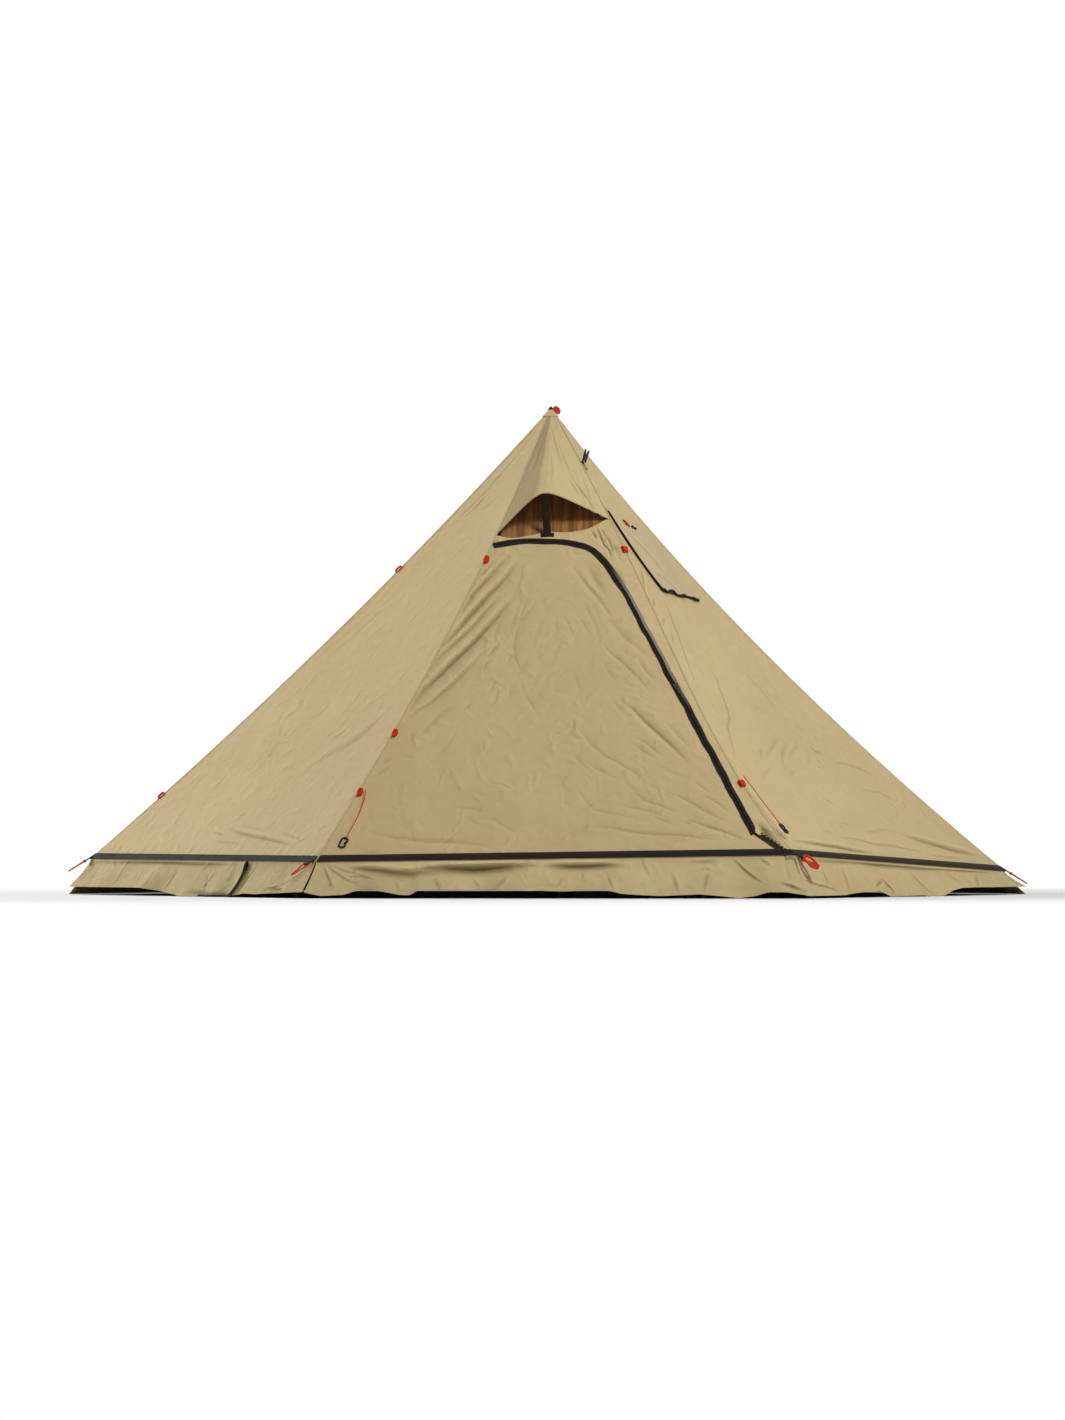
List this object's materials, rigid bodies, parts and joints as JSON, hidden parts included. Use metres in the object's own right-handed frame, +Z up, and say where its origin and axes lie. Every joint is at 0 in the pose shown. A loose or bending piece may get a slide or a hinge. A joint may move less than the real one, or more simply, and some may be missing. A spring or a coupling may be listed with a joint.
{
  "type": "hot tent",
  "caption": "Six-sided pyramid tent on a centre pole, with a zipped door, a propped vent hood, snow skirts and a flap over the stove-pipe hole.",
  "frame": {"origin": "on the ground at the middle of the pole foot's underside", "axes": "+Z up along the pole, -Y out through the door, +X to the right as seen by someone who faces the door"},
  "size_m": [3.3473, 2.9203, 1.707],
  "materials": {
    "tan_polyester": "coated plain-weave tent cloth",
    "tan_skirt_polyester": "plain-weave skirt cloth",
    "tan_flap_cloth": "heavier plain-weave cloth",
    "black_webbing": "woven webbing",
    "black_zip_tape": "zip tape with a moulded coil",
    "brown_mesh": "fine insect net",
    "red_webbing": "woven tape and elastic cord",
    "black_plastic": "moulded, fine grain",
    "grey_heat_cloth": "heat-proof glass cloth",
    "zinc_slider": "dark plated die casting",
    "anodised_aluminium": "anodised tube",
    "black_rubber": "moulded"
  },
  "bodies": {
    "tent": {"right_front_panel": "tan_polyester", "right_back_panel": "tan_polyester", "back_panel": "tan_polyester", "left_back_panel": "tan_polyester", "left_front_panel": "tan_polyester", "vent_hood": "tan_polyester", "front_surround": "tan_polyester", "vent_mesh": "brown_mesh", "stove_jack_patch": "grey_heat_cloth", "left_front_skirt": "tan_skirt_polyester", "front_left_corner_skirt": "tan_skirt_polyester", "left_back_skirt": "tan_skirt_polyester", "back_skirt": "tan_skirt_polyester", "right_back_skirt": "tan_skirt_polyester", "right_front_skirt": "tan_skirt_polyester", "pole_lower_section": "anodised_aluminium", "pole_middle_section": "anodised_aluminium", "pole_upper_section": "anodised_aluminium", "pole_foot": "black_rubber", "pole_tip": "anodised_aluminium", "clip_tab": "tan_polyester", "apex_cap": "tan_polyester", "apex_tip": "black_webbing", "hem_webbing": "black_webbing", "vent_prop_patch": "black_webbing", "zip_frame_tape": "black_zip_tape", "retainer_hook_right": "black_plastic", "apex_loop": "red_webbing", "retainer_cord_right": "red_webbing", "ridge_tab_left_upper": "red_webbing", "ridge_tab_left_lower": "red_webbing", "ridge_tab_front_right_upper": "red_webbing", "ridge_tab_front_right_lower": "red_webbing", "ridge_tab_back_right_upper": "red_webbing", "ridge_tab_back_right_lower": "red_webbing", "ridge_tab_back_left_upper": "red_webbing", "ridge_tab_back_left_lower": "red_webbing", "corner_loop_left": "red_webbing", "corner_loop_front_left": "red_webbing", "corner_loop_front_right": "red_webbing", "corner_loop_right": "red_webbing", "corner_loop_back_right": "red_webbing", "corner_loop_back_left": "red_webbing"},
    "door": {"door_panel": "tan_polyester", "door_hem_webbing": "black_webbing", "zip_door_tape": "black_zip_tape", "door_skirt": "tan_skirt_polyester", "door_tab_upper": "red_webbing", "door_tab_middle": "red_webbing", "door_tab_lower": "red_webbing", "retainer_cord_left": "red_webbing", "retainer_hook_left": "black_plastic"},
    "stove_flap_leaf": {"stove_flap": "tan_flap_cloth", "stove_flap_binding": "black_webbing", "flap_tie_tab": "red_webbing", "flap_toggle": "black_plastic"},
    "vent_prop": {"vent_prop": "black_webbing"},
    "zip_slider": {"zip_slider": "zinc_slider"},
    "zip_pull": {"zip_pull": "zinc_slider"},
    "hanging_clip": {"flap_hanging_clip": "black_plastic"}
  },
  "joints": [
    {"name": "door_swing", "type": "hinge", "parent": "tent", "child": "door", "pos_m": [-0.7728, -1.33853, 0.11796], "axis": [-0.3718, -0.599, -0.7091], "range_deg": [0, 140]},
    {"name": "flap_swing", "type": "hinge", "parent": "tent", "child": "stove_flap_leaf", "pos_m": [0.18646, -0.29994, 1.33662], "axis": [-0.4928, -0.8355, 0.2431], "range_deg": [0, 100]},
    {"name": "prop_swing", "type": "hinge", "parent": "tent", "child": "vent_prop", "pos_m": [-0.02337, -0.42973, 1.37305], "axis": [-0.9996, 0.0247, -0.0141], "range_deg": [0, 70]},
    {"name": "slider_travel", "type": "slide", "parent": "door", "child": "zip_slider", "axis": [0.3523, -0.6193, -0.7017], "range_m": [-0.42, 0.66]},
    {"name": "pull_swing", "type": "hinge", "parent": "zip_slider", "child": "zip_pull", "pos_m": [0.41936, -0.88453, 0.70469], "axis": [-0.9355, -0.2106, -0.2837], "range_deg": [0, 100]},
    {"name": "clip_swing", "type": "hinge", "parent": "tent", "child": "hanging_clip", "pos_m": [0.11333, -0.15549, 1.49734], "axis": [0.291, 0.9533, -0.0808], "range_deg": [-50, 90]}
  ]
}
